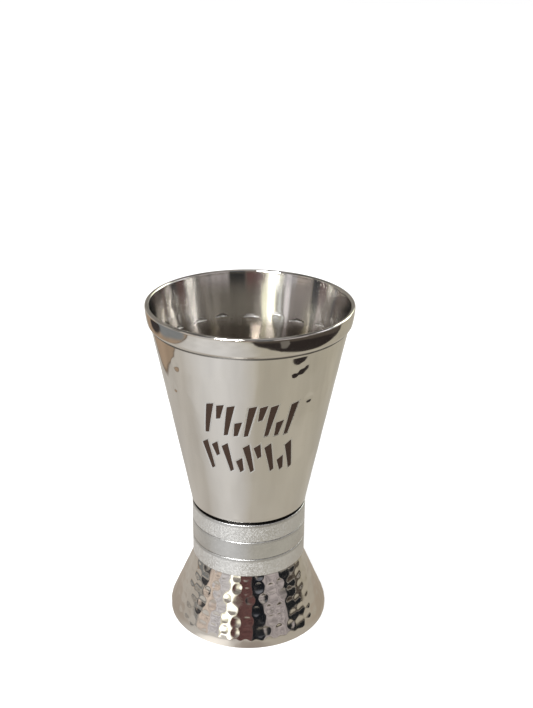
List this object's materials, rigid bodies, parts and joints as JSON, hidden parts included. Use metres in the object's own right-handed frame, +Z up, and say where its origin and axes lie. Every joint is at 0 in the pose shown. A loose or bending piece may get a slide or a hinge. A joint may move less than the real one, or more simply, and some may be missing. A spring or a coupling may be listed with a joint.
{
  "type": "kiddush cup",
  "caption": "Small kiddush cup: a hammered steel bowl that widens to a plain rim band, on a waist of stacked matte rings and a flared hammered foot.",
  "frame": {"origin": "on the cup's axis, on the surface that its foot stands on", "axes": "+Z up along the cup's axis; the front with the rows of strokes faces -Y"},
  "size_m": [0.047, 0.047, 0.08],
  "materials": {
    "bowl_steel": "polished",
    "foot_steel": "polished",
    "matte_ring": "matte",
    "satin_ring": "satin",
    "stroke_fill": "matte"
  },
  "bodies": {
    "root": {"bowl": "bowl_steel", "upper_ring": "matte_ring", "middle_ring": "satin_ring", "lower_ring": "matte_ring", "foot": "foot_steel"}
  },
  "joints": []
}
